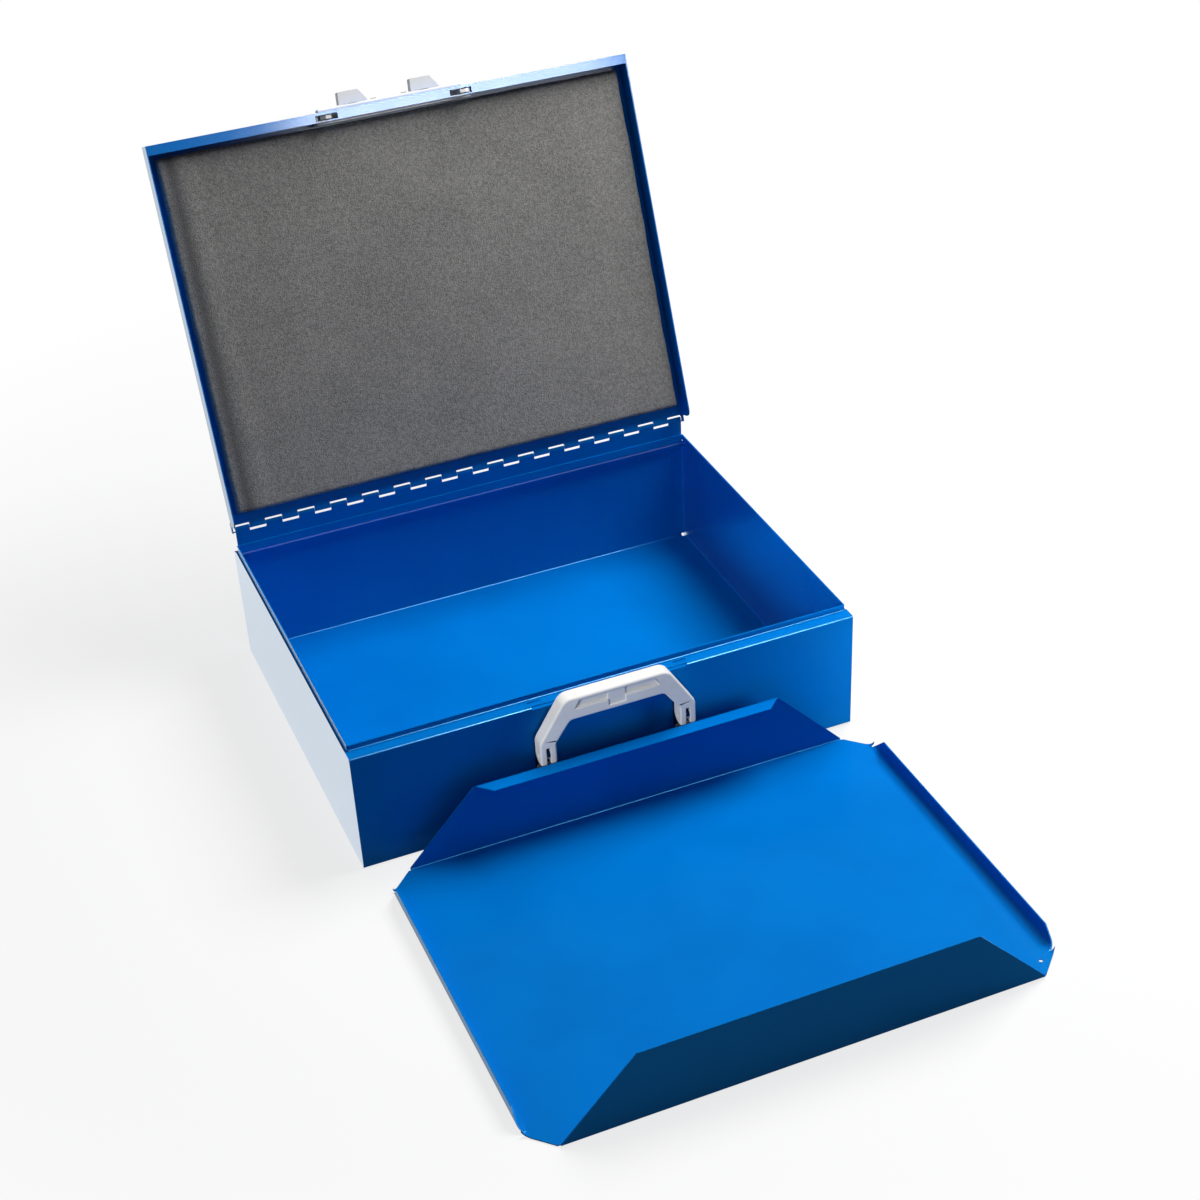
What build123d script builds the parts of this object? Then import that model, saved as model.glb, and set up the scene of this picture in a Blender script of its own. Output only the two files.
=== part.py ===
from build123d import *
from math import cos, radians, sin
import os

# Sheet-steel parts case with a hinged lid, a swing handle, two slide latches and an insert tray.
# Millimetres. X runs to the right, Y to the back, Z up. The origin is the centre of the underside.

# Case body
case_width = 440.0
case_depth = 341.0
shoulder_height = 111.0
sheet = 1.0
bend_radius = 1.0
rim_height = 5.0
front_ledge = 11.0
side_ledge = 2.0
weld_flange = 12.0
corner_relief = 2.5
joggle_drop = 8.0
joggle_rise = 5.0
front_relief_half = 68.0
front_relief_drop = 2.5

# Piano hinge
hinge_setback = 3.7
hinge_rise = 21.0
hinge_sheet = 0.8
pin_radius = 1.1
pin_clearance = 0.05
knuckle_pitch = 15.1
knuckle_wrap = 214
knuckle_gap = 0.5
body_leaf_width = 16.5
lid_leaf_width = 12.5
leaf_notch = 3.6

# Lid
lid_open_angle = 112.0
lid_front_setback = 0.5
lid_skirt = 20.3
lid_drop = 0.15
lid_return = 8.2
skirt_setback = 3.0
skirt_corner = 7.0
stop_reach = 3.2
stop_height = 2.6
stop_gap = 0.05
stop_length = 12.0

# Foam pad
foam_side_margin = 6.6
foam_clearance = 0.6
foam_thickness = 12.0
foam_gap = 0.3
foam_round = 2.0

# Latches
latch_spacing = 33.0
thumb_width = 18.9
thumb_reach = 14.0
thumb_ramp = 7.5
thumb_round = 1.5
thumb_bottom = -10.8
thumb_top = -2.2
latch_travel = 5.0
bezel_half = 66.0
bezel_depth = 3.0
bezel_bottom = -11.2
bezel_top = -1.5
stem_width = 6.0
stem_bottom = -8.8
stem_top = -4.2
arm_depth = 4.8
arm_bottom = -10.0
arm_top = -3.6
hook_spacing = 61.5
hook_width = 5.0
hook_depth = 3.0
hook_drop = 27.4
barb_reach = 4.0
barb_height = 4.0
latch_clearance = 0.4
cover_margin = 1.5
cover_depth = 9.4
cover_wall = 1.0
cover_top = -2.6
cover_bottom = -19.1
slot_margin = 1.0
lid_slot_half = 10.0
rivet_spacing = 14.0
rivet_radius = 1.6
rivet_head = 2.7
rivet_head_height = 1.0
rivet_clearance = 0.05

# Handle and its brackets
handle_top = 120.0
handle_bar = 21.2
handle_half = 68.3
handle_flat_half = 45.0
handle_shoulder = 83.0
grip_half = 41.0
grip_shoulder = 80.0
foot_width = 14.0
foot_bottom = 62.0
handle_front = 14.5
handle_depth = 12.5
pivot_inset = 4.0
pivot_height = 70.0
pivot_pin_radius = 1.7
fork_slot = 3.5
fork_slot_top = 77.8
handle_outer_round = 11.0
handle_inner_round = 6.0
handle_edge = 1.2
recess_depth = 2.6
recess_border = 3.5
recess_half = 37.0
recess_bar = 10.2
recess_step = 4.3
recess_pad_half = 7.5
recess_slope = 60.0
bracket_width = 15.0
bracket_plate = 1.5
bracket_bottom = 46.0
bracket_top = 77.0
tongue_clearance = 0.3

# Insert tray
tray_width = 432.0
tray_depth = 322.0
tray_flap = 65.0
tray_flap_top_half = 134.0
tray_corner = 22.5
tray_rear_lip = 13.0
tray_side_lip = 15.0
tray_side_bend = 6.5
tray_hole_radius = 1.6
tray_hole_inset = 5.0
tray_shift = 7.0
tray_gap = 17.0

# Derived sizes
half_width = case_width / 2
half_depth = case_depth / 2
mid = sheet / 2
bend_mid = bend_radius + mid
shoulder_mid = side_ledge / 2 - sheet / 10
joggle_start = shoulder_height - joggle_drop
hinge_height = shoulder_height + hinge_rise
hinge_y = half_depth - hinge_setback
bore_radius = pin_radius + pin_clearance
knuckle_radius = bore_radius + hinge_sheet
wall_mid_y = hinge_y - knuckle_radius - mid
rim_half = half_width - side_ledge - sheet
hinge_half = rim_half
lid_knuckles = round((2 * hinge_half / knuckle_pitch - 1) / 2)
rim_top = shoulder_height + rim_height
lip_face_y = -half_depth + front_ledge
lip_back_y = lip_face_y + sheet
lid_reach = hinge_y + half_depth - lid_front_setback
lid_top = -lid_drop
lid_inner = lid_top - sheet
skirt_bottom = lid_top - lid_skirt
foam_half = half_width - foam_side_margin
handle_front_y = -half_depth - handle_front
pivot_y = handle_front_y + pivot_inset
foot_x = handle_half - foot_width / 2
pin_bore_radius = pivot_pin_radius + pin_clearance
cover_half = hook_spacing + hook_width / 2 + latch_travel + cover_margin
cover_front = -lid_reach + sheet
cover_rear = cover_front + cover_depth
foam_front = cover_rear + foam_clearance
foam_rear = -lid_leaf_width - foam_clearance
arm_front = cover_front + latch_clearance
hook_rear = arm_front + arm_depth
hook_front = hook_rear - hook_depth

# The lid is drawn closed in its own frame on the hinge axis, which stands open here.
opening = radians(lid_open_angle)
leaf_offset = hinge_sheet - knuckle_radius
stop_foot = (leaf_offset + stop_gap - stop_reach * cos(opening)) / sin(opening)
lid_frame = Plane(
    origin=(0, hinge_y, hinge_height),
    x_dir=(1, 0, 0),
    z_dir=(0, sin(opening), cos(opening)),
)
lid_side = Plane(lid_frame.origin, x_dir=lid_frame.y_dir, z_dir=lid_frame.x_dir)
lid_front = Plane(lid_frame.origin, x_dir=lid_frame.x_dir, z_dir=-lid_frame.y_dir)

os.makedirs("parts", exist_ok=True)


def block(x, y, z, mode=Mode.ADD):
    """Box between two values on each axis of the current workplane."""
    with Locations(((x[0] + x[1]) / 2, (y[0] + y[1]) / 2, (z[0] + z[1]) / 2)):
        Box(x[1] - x[0], y[1] - y[0], z[1] - z[0], mode=mode)


def bent_profile(plane, points, radius, thickness):
    """Section of a sheet bent along the points, which lie on its middle."""
    with BuildSketch(plane) as profile:
        with BuildLine():
            FilletPolyline(*points, radius=radius)
        trace(line_width=thickness)
    return profile.sketch


def outline(plane, points):
    """Closed straight-sided face."""
    with BuildSketch(plane) as profile:
        with BuildLine():
            Polyline(*points, close=True)
        make_face()
    return profile.sketch


def rolled_profile(plane, width):
    """Section of a leaf of some width, rolled round the pin. It runs up the plane's Y and over its X."""
    roll = bore_radius + hinge_sheet / 2
    with BuildSketch(plane) as profile:
        with BuildLine():
            Line((-roll, -width), (-roll, 0))
            CenterArc((0, 0), roll, 180, -knuckle_wrap)
        trace(line_width=hinge_sheet)
    return profile.sketch


def lid_knuckle_centres():
    """Places of the lid's knuckles along the hinge."""
    first = -(lid_knuckles - 1) * knuckle_pitch
    return [first + 2 * knuckle_pitch * i for i in range(lid_knuckles)]


def body_knuckle_spans():
    """Ends of the body's knuckles, between and outside the lid's."""
    centres = lid_knuckle_centres()
    edges = [-hinge_half]
    for centre in centres:
        edges += [centre - knuckle_pitch / 2, centre + knuckle_pitch / 2]
    edges.append(hinge_half)
    return [(edges[i], edges[i + 1]) for i in range(0, len(edges), 2)]


# Case shell: front wall with ledge and rim, floor, and back wall that steps in to a rim before the hinge
shell_points = [
    (lip_face_y + mid, rim_top),
    (lip_face_y + mid, shoulder_height - mid),
    (-half_depth + mid, shoulder_height - mid),
    (-half_depth + mid, mid),
    (half_depth - mid, mid),
    (half_depth - mid, joggle_start),
    (wall_mid_y, joggle_start + joggle_rise),
    (wall_mid_y, rim_top),
]
with BuildPart() as case_shell:
    extrude(
        bent_profile(Plane.YZ.offset(-half_width), shell_points, bend_mid, sheet),
        amount=case_width,
    )
    for side in (-1, 1):
        ends = sorted((side * rim_half, side * (half_width + 1)))
        block(ends, (-half_depth - 1, half_depth + 1), (shoulder_height, hinge_height), Mode.SUBTRACT)
        block(ends, (0, half_depth + 1), (shoulder_height - 2 * sheet, hinge_height), Mode.SUBTRACT)
        seam = sorted((side * (half_width - sheet), side * (half_width + 1)))
        block(seam, (0, half_depth - sheet), (joggle_start - bend_mid, hinge_height), Mode.SUBTRACT)
        relief = sorted((side * (half_width - sheet), side * (half_width - sheet - corner_relief)))
        block(
            relief,
            (half_depth - sheet - corner_relief, half_depth + 1),
            (-1, sheet + corner_relief),
            Mode.SUBTRACT,
        )
    # Relief along the front edge where the latch plate comes down
    block(
        (-front_relief_half, front_relief_half),
        (-half_depth - 1, -half_depth + sheet + mid),
        (shoulder_height - front_relief_drop, shoulder_height + 1),
        Mode.SUBTRACT,
    )
    # Ledge slots for the latch hooks
    for side in (-1, 1):
        inner_x = side * (hook_spacing - hook_width / 2 - slot_margin)
        outer_x = side * (hook_spacing + hook_width / 2 + latch_travel + slot_margin / 2)
        block(
            sorted((inner_x, outer_x)),
            (hinge_y + hook_front - slot_margin, hinge_y + hook_rear + slot_margin),
            (shoulder_height - sheet - 1, shoulder_height + 1),
            Mode.SUBTRACT,
        )
case_shell.part.label = "case_shell"
export_step(case_shell.part, "parts/case_shell.step")

# Side panels: flanged inside the shell at front, floor and back, with shoulder and rim on top
panel_points = [
    (half_width - weld_flange, sheet + mid),
    (half_width - mid, sheet + mid),
    (half_width - mid, shoulder_height - mid),
    (rim_half + mid, shoulder_height - mid),
    (rim_half + mid, rim_top),
]
panel_radii = [bend_mid, shoulder_mid, shoulder_mid]
panel_end = half_depth - sheet
flange_points = [
    (half_width - weld_flange, -panel_end + mid),
    (half_width - mid, -panel_end + mid),
    (half_width - mid, panel_end - mid),
    (half_width - weld_flange, panel_end - mid),
]
with BuildPart() as side_panel_right:
    extrude(
        bent_profile(Plane.XZ.offset(-lip_back_y), panel_points, panel_radii, sheet),
        amount=lip_back_y - wall_mid_y - mid,
    )
    # The floor flange stops short of the corner bends
    block(
        (half_width - weld_flange, half_width - sheet),
        (-panel_end + corner_relief + sheet, lip_back_y),
        (sheet, 2 * sheet),
    )
    extrude(
        bent_profile(Plane.XY.offset(sheet + corner_relief), flange_points, bend_mid, sheet),
        amount=joggle_start - sheet - 2 * corner_relief,
    )
    plate_top = shoulder_height - sheet - bend_radius
    with BuildSketch(Plane.YZ.offset(half_width - sheet)):
        with Locations((0, (sheet + plate_top) / 2)):
            plate = Rectangle(2 * panel_end, plate_top - sheet)
        chamfer(plate.vertices(), bend_radius)
    extrude(amount=sheet)
    block(
        (half_width - sheet, half_width),
        (-panel_end + bend_radius, lip_back_y),
        (plate_top - bend_radius, shoulder_height - sheet),
    )
side_panel_right.part.label = "side_panel_right"
export_step(side_panel_right.part, "parts/side_panel_right.step")

with BuildPart() as side_panel_left:
    mirror(side_panel_right.part, about=Plane.YZ)
side_panel_left.part.label = "side_panel_left"
export_step(side_panel_left.part, "parts/side_panel_left.step")

# Body hinge leaf behind the rim of the back wall
body_hinge_side = Plane((0, hinge_y, hinge_height), x_dir=(0, 1, 0), z_dir=(1, 0, 0))
with BuildPart() as body_hinge_leaf:
    extrude(rolled_profile(body_hinge_side.offset(-hinge_half), body_leaf_width), amount=2 * hinge_half)
    for centre in lid_knuckle_centres():
        block(
            (centre - knuckle_pitch / 2, centre + knuckle_pitch / 2),
            (hinge_y - 2 * knuckle_radius, hinge_y + 2 * knuckle_radius),
            (hinge_height - leaf_notch, hinge_height + 2 * knuckle_radius),
            Mode.SUBTRACT,
        )
body_hinge_leaf.part.label = "body_hinge_leaf"
export_step(body_hinge_leaf.part, "parts/body_hinge_leaf.step")

# Hinge pin through every knuckle
with BuildPart() as hinge_pin:
    with BuildSketch(body_hinge_side.offset(-hinge_half)):
        Circle(pin_radius)
    extrude(amount=2 * hinge_half)
hinge_pin.part.label = "hinge_pin"
export_step(hinge_pin.part, "parts/hinge_pin.step")

# Lid shell: panel with skirts on three sides, a return along the front and rear corner stops
lid_rear = -knuckle_radius - mid / 2
lid_length = lid_reach + lid_rear
with BuildPart(lid_frame) as lid_shell:
    block((-half_width, half_width), (-lid_reach, lid_rear), (skirt_bottom, lid_top))
    top_edges = lid_shell.faces().sort_by(Axis(lid_frame.origin, lid_frame.z_dir))[-1].edges()
    rear_edge = top_edges.sort_by(Axis(lid_frame.origin, lid_frame.y_dir))[-1]
    fillet([edge for edge in top_edges if edge != rear_edge], bend_radius + sheet)
    with BuildSketch(lid_front.offset(lid_reach - sheet)):
        with BuildLine():
            FilletPolyline(
                (-half_width + sheet, skirt_bottom - sheet),
                (-half_width + sheet, lid_inner),
                (half_width - sheet, lid_inner),
                (half_width - sheet, skirt_bottom - sheet),
                radius=bend_radius,
            )
            Line((half_width - sheet, skirt_bottom - sheet), (-half_width + sheet, skirt_bottom - sheet))
        make_face()
    extrude(amount=-lid_length, mode=Mode.SUBTRACT)
    # Return lip along the front, with openings for the hooks
    block(
        (-half_width + sheet, half_width - sheet),
        (-lid_reach, -lid_reach + lid_return),
        (skirt_bottom, skirt_bottom + sheet),
    )
    for side in (-1, 1):
        cut_x = side * hook_spacing
        block(
            (cut_x - lid_slot_half, cut_x + lid_slot_half),
            (hook_front - slot_margin, hook_rear + slot_margin),
            (skirt_bottom - 1, skirt_bottom + 2 * sheet),
            Mode.SUBTRACT,
        )
        # Slot in the front skirt for the latch stem
        slot_x = sorted((
            side * (latch_spacing - stem_width / 2 - latch_clearance),
            side * (latch_spacing + stem_width / 2 + latch_travel + latch_clearance),
        ))
        block(
            slot_x,
            (-lid_reach - 1, -lid_reach + sheet + mid),
            (stem_bottom - latch_clearance, stem_top + latch_clearance),
            Mode.SUBTRACT,
        )
        hole_x = side * rivet_spacing
        rivet_z = (bezel_bottom + bezel_top) / 2
        with Locations(Location((hole_x, -lid_reach + mid, rivet_z), (90, 0, 0))):
            Cylinder(rivet_radius + rivet_clearance, 3 * sheet, mode=Mode.SUBTRACT)
    # Skirts end short of the hinge with a rounded lower corner
    for side in (-1, 1):
        skirt_x = sorted((side * (half_width - sheet), side * (half_width + 1)))
        with BuildSketch(lid_side.offset(skirt_x[0])):
            with BuildLine():
                Polyline(
                    (lid_rear + 1, lid_inner - bend_radius),
                    (-skirt_setback, lid_inner - bend_radius),
                    (-skirt_setback, skirt_bottom + skirt_corner),
                )
                RadiusArc(
                    (-skirt_setback, skirt_bottom + skirt_corner),
                    (-skirt_setback - skirt_corner, skirt_bottom),
                    skirt_corner,
                )
                Polyline(
                    (-skirt_setback - skirt_corner, skirt_bottom),
                    (-skirt_setback - skirt_corner, skirt_bottom - 1),
                    (lid_rear + 1, skirt_bottom - 1),
                    (lid_rear + 1, lid_inner - bend_radius),
                )
            make_face()
        extrude(amount=skirt_x[1] - skirt_x[0], mode=Mode.SUBTRACT)
        # Rear corner stop: an ear that turns in behind the roll and meets the body's leaf
        ear_x = sorted((side * (half_width - sheet), side * half_width))
        block(ear_x, (-2 * skirt_setback, stop_reach), (lid_inner - sheet, stop_foot + stop_height))
        tab_x = sorted((side * half_width, side * (half_width - stop_length)))
        block(tab_x, (stop_reach - sheet, stop_reach), (stop_foot, stop_foot + stop_height))
    # Notches around the body's knuckles
    for start, end in body_knuckle_spans():
        low = max(start - knuckle_gap / 2, -half_width + sheet)
        high = min(end + knuckle_gap / 2, half_width - sheet)
        block((low, high), (-leaf_notch, 0), (lid_inner - sheet, lid_top + sheet), Mode.SUBTRACT)
lid_shell.part.label = "lid_shell"
export_step(lid_shell.part, "parts/lid_shell.step")

# Lid hinge leaf under the lid panel
lid_roll_side = Plane(lid_frame.origin, x_dir=lid_frame.z_dir, z_dir=-lid_frame.x_dir)
with BuildPart(lid_frame) as lid_hinge_leaf:
    extrude(rolled_profile(lid_roll_side.offset(-hinge_half), lid_leaf_width), amount=2 * hinge_half)
    for start, end in body_knuckle_spans():
        low = start - knuckle_gap / 2
        high = end + knuckle_gap / 2
        block(
            (low, high),
            (-leaf_notch, 2 * knuckle_radius),
            (-2 * knuckle_radius, 2 * knuckle_radius),
            Mode.SUBTRACT,
        )
lid_hinge_leaf.part.label = "lid_hinge_leaf"
export_step(lid_hinge_leaf.part, "parts/lid_hinge_leaf.step")

# Foam pad inside the lid
foam_top = lid_inner - foam_gap
with BuildPart(lid_frame) as lid_foam:
    block(
        (-foam_half, foam_half),
        (foam_front, foam_rear),
        (foam_top - foam_thickness, foam_top),
    )
    foam_faces = lid_foam.faces().sort_by(Axis(lid_frame.origin, lid_frame.z_dir))
    fillet(foam_faces[0].edges(), foam_round)
lid_foam.part.label = "lid_foam"
export_step(lid_foam.part, "parts/lid_foam.step")

# Latch bezel on the outside of the front skirt
with BuildPart(lid_frame) as latch_bezel:
    block(
        (-bezel_half, bezel_half),
        (-lid_reach - bezel_depth, -lid_reach),
        (bezel_bottom, bezel_top),
    )
    bezel_front = latch_bezel.faces().sort_by(Axis(lid_frame.origin, lid_frame.y_dir))[0]
    chamfer(bezel_front.edges(), bezel_depth / 3)
    for side in (-1, 1):
        slot_x = sorted((
            side * (latch_spacing - stem_width / 2 - latch_clearance),
            side * (latch_spacing + stem_width / 2 + latch_travel + latch_clearance),
        ))
        block(
            slot_x,
            (-lid_reach - bezel_depth - 1, -lid_reach + 1),
            (stem_bottom - latch_clearance, stem_top + latch_clearance),
            Mode.SUBTRACT,
        )
        hole = Location((side * rivet_spacing, -lid_reach, (bezel_bottom + bezel_top) / 2), (90, 0, 0))
        with Locations(hole):
            Cylinder(rivet_radius + rivet_clearance, 3 * bezel_depth, mode=Mode.SUBTRACT)
latch_bezel.part.label = "latch_bezel"
export_step(latch_bezel.part, "parts/latch_bezel.step")

# Latch cover inside the front skirt, open towards the skirt, with hook openings below
with BuildPart(lid_frame) as latch_cover:
    block((-cover_half, cover_half), (cover_front, cover_rear), (cover_bottom, cover_top))
    block(
        (-cover_half + cover_wall, cover_half - cover_wall),
        (cover_front - 1, cover_rear - cover_wall),
        (cover_bottom + cover_wall, cover_top - cover_wall),
        Mode.SUBTRACT,
    )
    for side in (-1, 1):
        block(
            sorted((side * (hook_spacing - lid_slot_half), side * (cover_half - cover_wall))),
            (cover_front - 1, hook_rear + slot_margin),
            (cover_bottom - 1, cover_bottom + cover_wall + 1),
            Mode.SUBTRACT,
        )
        bore = Location((side * rivet_spacing, cover_rear, (bezel_bottom + bezel_top) / 2), (90, 0, 0))
        with Locations(bore):
            Cylinder(rivet_radius + rivet_clearance, 3 * cover_wall, mode=Mode.SUBTRACT)
latch_cover.part.label = "latch_cover"
export_step(latch_cover.part, "parts/latch_cover.step")

# Rivets that hold bezel and cover on the skirt
with BuildPart(lid_frame) as latch_rivets:
    rivet_start = -lid_reach - bezel_depth
    for side in (-1, 1):
        rivet_z = (bezel_bottom + bezel_top) / 2
        shank = Location((side * rivet_spacing, (rivet_start + cover_rear) / 2, rivet_z), (90, 0, 0))
        with Locations(shank):
            Cylinder(rivet_radius, cover_rear - rivet_start)
        head_y = rivet_start - rivet_head_height / 2
        with Locations(Location((side * rivet_spacing, head_y, rivet_z), (90, 0, 0))):
            Cylinder(rivet_head, rivet_head_height)
latch_rivets.part.label = "latch_rivets"
export_step(latch_rivets.part, "parts/latch_rivets.step")

# Latch sliders: thumb piece outside, arm behind the skirt, hook with an outward barb
thumb_front = -lid_reach - thumb_reach
thumb_rear = -lid_reach - bezel_depth - latch_clearance


def build_slider(side):
    """Slider of one side. Both thumb pieces are one moulding, so their ramps lie to the right."""
    thumb_left = side * latch_spacing - (thumb_width + thumb_ramp) / 2
    with BuildPart(lid_frame) as piece:
        with BuildSketch(lid_frame.offset(thumb_bottom)):
            with BuildLine():
                FilletPolyline(
                    (thumb_left, thumb_rear),
                    (thumb_left + thumb_round / 2, thumb_front),
                    (thumb_left + thumb_width, thumb_front),
                    (thumb_left + thumb_width + thumb_ramp, thumb_rear),
                    radius=thumb_round,
                )
                Line((thumb_left + thumb_width + thumb_ramp, thumb_rear), (thumb_left, thumb_rear))
            make_face()
        extrude(amount=thumb_top - thumb_bottom)
        block(
            (side * latch_spacing - stem_width / 2, side * latch_spacing + stem_width / 2),
            (thumb_rear - 1, arm_front + 1),
            (stem_bottom, stem_top),
        )
        block(
            sorted((side * (latch_spacing - stem_width / 2), side * (hook_spacing + hook_width / 2))),
            (arm_front, hook_rear),
            (arm_bottom, arm_top),
        )
        hook_points = [
            (side * (hook_spacing - hook_width / 2), arm_top),
            (side * (hook_spacing + hook_width / 2), arm_top),
            (side * (hook_spacing + hook_width / 2), -hook_drop + barb_height),
            (side * (hook_spacing + hook_width / 2 + barb_reach), -hook_drop + barb_height),
            (side * (hook_spacing + hook_width / 2), -hook_drop),
            (side * (hook_spacing - hook_width / 2), -hook_drop),
        ]
        extrude(outline(lid_front.offset(-hook_rear), hook_points), amount=hook_depth)
    return piece.part


with BuildPart() as latch_slider_right:
    add(build_slider(1))
latch_slider_right.part.label = "latch_slider_right"
export_step(latch_slider_right.part, "parts/latch_slider_right.step")

with BuildPart() as latch_slider_left:
    add(build_slider(-1))
latch_slider_left.part.label = "latch_slider_left"
export_step(latch_slider_left.part, "parts/latch_slider_left.step")

# Handle: moulded arch with forked feet and a stepped recess in the front of the grip
grip_bottom = handle_top - handle_bar
foot_inner = handle_half - foot_width
handle_plane = Plane.XZ.offset(-handle_front_y)
with BuildPart() as handle:
    with BuildSketch(handle_plane):
        with BuildLine():
            FilletPolyline(
                (-handle_half, foot_bottom),
                (-handle_half, handle_shoulder),
                (-handle_flat_half, handle_top),
                (handle_flat_half, handle_top),
                (handle_half, handle_shoulder),
                (handle_half, foot_bottom),
                radius=handle_outer_round,
            )
            Line((handle_half, foot_bottom), (foot_inner, foot_bottom))
            FilletPolyline(
                (foot_inner, foot_bottom),
                (foot_inner, grip_shoulder),
                (grip_half, grip_bottom),
                (-grip_half, grip_bottom),
                (-foot_inner, grip_shoulder),
                (-foot_inner, foot_bottom),
                radius=handle_inner_round,
            )
            Line((-foot_inner, foot_bottom), (-handle_half, foot_bottom))
        make_face()
    extrude(amount=-handle_depth)
    # Feet rounded behind the pivot, so that they turn clear of the brackets
    back_reach = handle_depth - pivot_inset
    foot_drop = pivot_height - foot_bottom
    for side in (-1, 1):
        foot_ends = sorted((side * (foot_inner - 1), side * (handle_half + 1)))
        with BuildSketch(Plane.YZ.offset(foot_ends[0])):
            with BuildLine():
                EllipticalCenterArc((pivot_y, pivot_height), back_reach, foot_drop, 270, arc_size=90)
                Polyline(
                    (pivot_y + back_reach, pivot_height),
                    (pivot_y + back_reach + 1, pivot_height),
                    (pivot_y + back_reach + 1, foot_bottom - 1),
                    (pivot_y, foot_bottom - 1),
                    (pivot_y, foot_bottom),
                )
            make_face()
        extrude(amount=foot_ends[1] - foot_ends[0], mode=Mode.SUBTRACT)
    front_loop = handle.faces().sort_by(Axis.Y)[0].outer_wire().edges()
    chamfer(front_loop.filter_by(lambda edge: edge.bounding_box().min.Z > foot_bottom + 1), handle_edge)
    # Recess over a bar along the grip, and a shallower one in the middle that steps down into the bar
    recess_low = grip_bottom + recess_bar
    recess_high = handle_top - recess_border
    with BuildSketch(handle_plane):
        with Locations((0, (recess_low + recess_high) / 2)):
            Trapezoid(2 * recess_half, recess_high - recess_low, recess_slope)
    extrude(amount=-recess_depth, mode=Mode.SUBTRACT)
    pad_x = (-recess_pad_half, recess_pad_half)
    pad_front = handle_front_y + recess_depth / 2
    block(pad_x, (handle_front_y - 1, pad_front), (grip_bottom + recess_step, recess_low), Mode.SUBTRACT)
    block(pad_x, (pad_front, handle_front_y + recess_depth), (recess_low, recess_high))
    # Fork slots and pin bores in the feet
    for side in (-1, 1):
        block(
            (side * foot_x - fork_slot / 2, side * foot_x + fork_slot / 2),
            (handle_front_y - 1, handle_front_y + handle_depth + 1),
            (foot_bottom - 1, fork_slot_top),
            Mode.SUBTRACT,
        )
        with Locations(Location((side * foot_x, pivot_y, pivot_height), (0, 90, 0))):
            Cylinder(pin_bore_radius, foot_width + 2, mode=Mode.SUBTRACT)
handle.part.label = "handle"
export_step(handle.part, "parts/handle.step")

# Handle brackets: a riveted plate with a tongue that stands in each fork
tongue_radius = pivot_inset - tongue_clearance
tongue_half = fork_slot / 2 - tongue_clearance


def build_bracket(side):
    """Plate on the front wall with its tongue and bore, for one foot."""
    with BuildPart() as piece:
        block(
            (side * foot_x - bracket_width / 2, side * foot_x + bracket_width / 2),
            (-half_depth - bracket_plate, -half_depth),
            (bracket_bottom, bracket_top),
        )
        chamfer(piece.edges().filter_by(Axis.Y), bracket_plate)
        tongue_low = foot_bottom - pivot_inset
        tongue_high = bracket_top - 2 * bracket_plate
        with BuildSketch(Plane.YZ.offset(side * foot_x - tongue_half)):
            with Locations((pivot_y, pivot_height)):
                Circle(tongue_radius)
            with BuildLine():
                Polyline(
                    (pivot_y, pivot_height + tongue_radius),
                    (-half_depth - bracket_plate / 2, tongue_high),
                    (-half_depth - bracket_plate / 2, tongue_low),
                    (pivot_y, pivot_height - tongue_radius),
                    close=True,
                )
            make_face()
        extrude(amount=2 * tongue_half)
        with Locations(Location((side * foot_x, pivot_y, pivot_height), (0, 90, 0))):
            Cylinder(pin_bore_radius, fork_slot, mode=Mode.SUBTRACT)
    return piece.part


with BuildPart() as handle_bracket_right:
    add(build_bracket(1))
handle_bracket_right.part.label = "handle_bracket_right"
export_step(handle_bracket_right.part, "parts/handle_bracket_right.step")

with BuildPart() as handle_bracket_left:
    add(build_bracket(-1))
handle_bracket_left.part.label = "handle_bracket_left"
export_step(handle_bracket_left.part, "parts/handle_bracket_left.step")

# Pivot pins through the forks and tongues
with BuildPart() as handle_pins:
    for side in (-1, 1):
        with Locations(Location((side * foot_x, pivot_y, pivot_height), (0, 90, 0))):
            Cylinder(pivot_pin_radius, foot_width - 2 * handle_edge)
handle_pins.part.label = "handle_pins"
export_step(handle_pins.part, "parts/handle_pins.step")

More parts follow.
